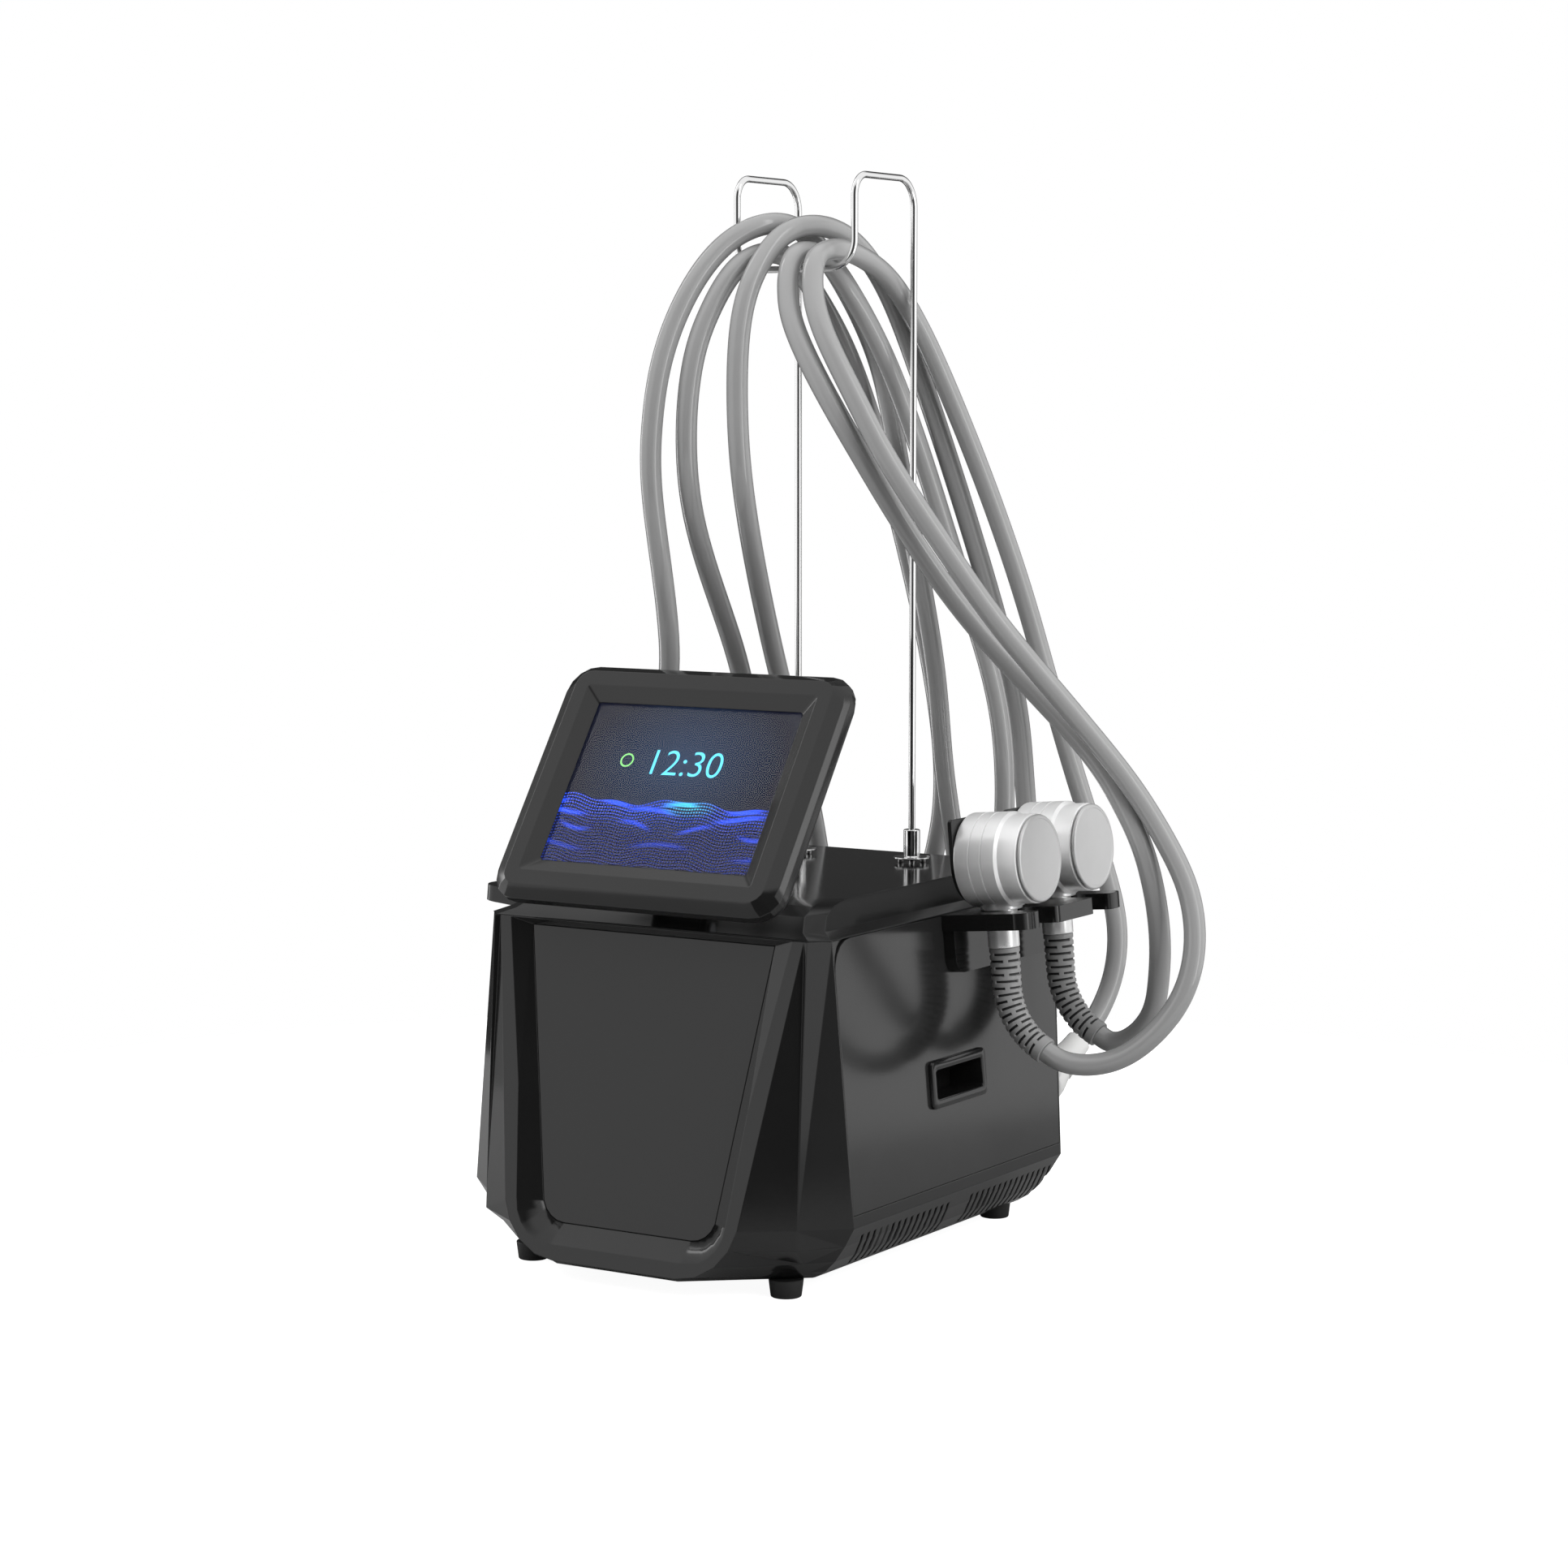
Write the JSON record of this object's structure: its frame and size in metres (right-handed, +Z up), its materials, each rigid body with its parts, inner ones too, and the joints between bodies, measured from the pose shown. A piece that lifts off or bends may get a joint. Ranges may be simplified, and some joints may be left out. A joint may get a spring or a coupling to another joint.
{
  "type": "cold therapy facial machine",
  "caption": "Table-top cold therapy machine for the face: black cabinet, tilting touch screen, wire hose hanger, side brackets and round metal handpieces on long hoses.",
  "frame": {"origin": "on the table, midway between the feet and on the middle plane of the cabinet", "axes": "+Z up, -Y to the front where the screen faces, +X to the side with two handpieces"},
  "size_m": [0.7341, 0.5874, 0.954],
  "materials": {
    "black_gloss": "gloss black moulded plastic",
    "black_satin": "satin black plastic",
    "foot_rubber": "matt black rubber",
    "chrome": "mirror chrome",
    "satin_silver": "satin silver",
    "face_metal": "fine matt grey",
    "hose_grey": "smooth mid grey with a soft shine",
    "boot_grey": "matt mid grey",
    "white_plastic": "white moulded plastic",
    "screen_glass": "clear glass over a dark blue picture",
    "sheet_metal": "bare sheet metal",
    "steel": "plain steel",
    "board_green": "green lacquer"
  },
  "bodies": {
    "cabinet": {"bracket_left": "black_gloss", "bracket_right": "black_gloss", "cabinet_shell": "black_gloss", "centre_panel": "black_gloss", "control_board": "board_green", "fan_frame": "black_satin", "filler_neck": "black_satin", "floor_tray": "sheet_metal", "foot_front_left": "foot_rubber", "foot_front_right": "foot_rubber", "foot_rear_left": "foot_rubber", "foot_rear_right": "foot_rubber", "grip_cup_left": "black_satin", "grip_cup_right": "black_satin", "hanger_collar_left": "chrome", "hanger_collar_right": "chrome", "hanger_wire": "chrome", "hinge_pin": "steel", "hose_connector_front_right": "white_plastic", "hose_connector_left": "white_plastic", "hose_connector_rear_right": "white_plastic", "hose_front_right": "hose_grey", "hose_left": "hose_grey", "hose_rear_right": "hose_grey", "power_inlet": "black_satin", "power_supply": "sheet_metal", "pump": "black_satin", "radiator": "sheet_metal", "rear_panel": "black_satin", "screen_stand": "black_satin", "side_panel_left": "black_gloss", "side_panel_right": "black_gloss", "switch_frame": "black_satin", "top_cover": "black_gloss", "water_tank": "white_plastic"},
    "screen": {"screen_bezel": "black_gloss", "touch_glass": "screen_glass", "picture_panel": "sheet_metal", "screen_housing": "black_gloss", "screen_arm": "black_satin"},
    "rocker": {"power_rocker": "black_gloss"},
    "cap": {"fill_cap": "black_satin"},
    "fan": {"fan_rotor": "black_satin"},
    "handpiece_front_right": {"handpiece_front_right_head": "satin_silver", "handpiece_front_right_cold_face": "face_metal", "handpiece_front_right_rear_plate": "black_satin", "handpiece_front_right_neck": "satin_silver", "handpiece_front_right_strain_relief": "boot_grey"},
    "handpiece_rear_right": {"handpiece_rear_right_head": "satin_silver", "handpiece_rear_right_cold_face": "face_metal", "handpiece_rear_right_rear_plate": "black_satin", "handpiece_rear_right_neck": "satin_silver", "handpiece_rear_right_strain_relief": "boot_grey"},
    "handpiece_left": {"handpiece_left_head": "satin_silver", "handpiece_left_cold_face": "face_metal", "handpiece_left_rear_plate": "black_satin", "handpiece_left_neck": "satin_silver", "handpiece_left_strain_relief": "boot_grey"}
  },
  "joints": [
    {"name": "screen_tilt", "type": "hinge", "parent": "cabinet", "child": "screen", "pos_m": [0, -0.16397, 0.35116], "axis": [1, 0, 0], "range_deg": [-15, 5]},
    {"name": "power_rock", "type": "hinge", "parent": "cabinet", "child": "rocker", "pos_m": [-0.06, 0.214, 0.068], "axis": [1, 0, 0], "range_deg": [-8, 8]},
    {"name": "cap_turn", "type": "hinge", "parent": "cabinet", "child": "cap", "pos_m": [-0.105, 0.214, 0.246], "axis": [0, 1, 0], "range_deg": [0, 90]},
    {"name": "fan_spin", "type": "hinge", "parent": "cabinet", "child": "fan", "pos_m": [0.066, 0.198, 0.226], "axis": [0, 1, 0], "continuous": true},
    {"name": "handpiece_front_right_slide", "type": "slide", "parent": "cabinet", "child": "handpiece_front_right", "axis": [0.9959, 0, 0.09], "range_m": [0, 0.0615], "deforming": ["hose_front_right"]},
    {"name": "handpiece_rear_right_slide", "type": "slide", "parent": "cabinet", "child": "handpiece_rear_right", "axis": [0.9959, 0, 0.09], "range_m": [0, 0.0615], "deforming": ["hose_rear_right"]},
    {"name": "handpiece_left_slide", "type": "slide", "parent": "cabinet", "child": "handpiece_left", "axis": [-0.9959, 0, 0.09], "range_m": [0, 0.0615], "deforming": ["hose_left"]}
  ]
}
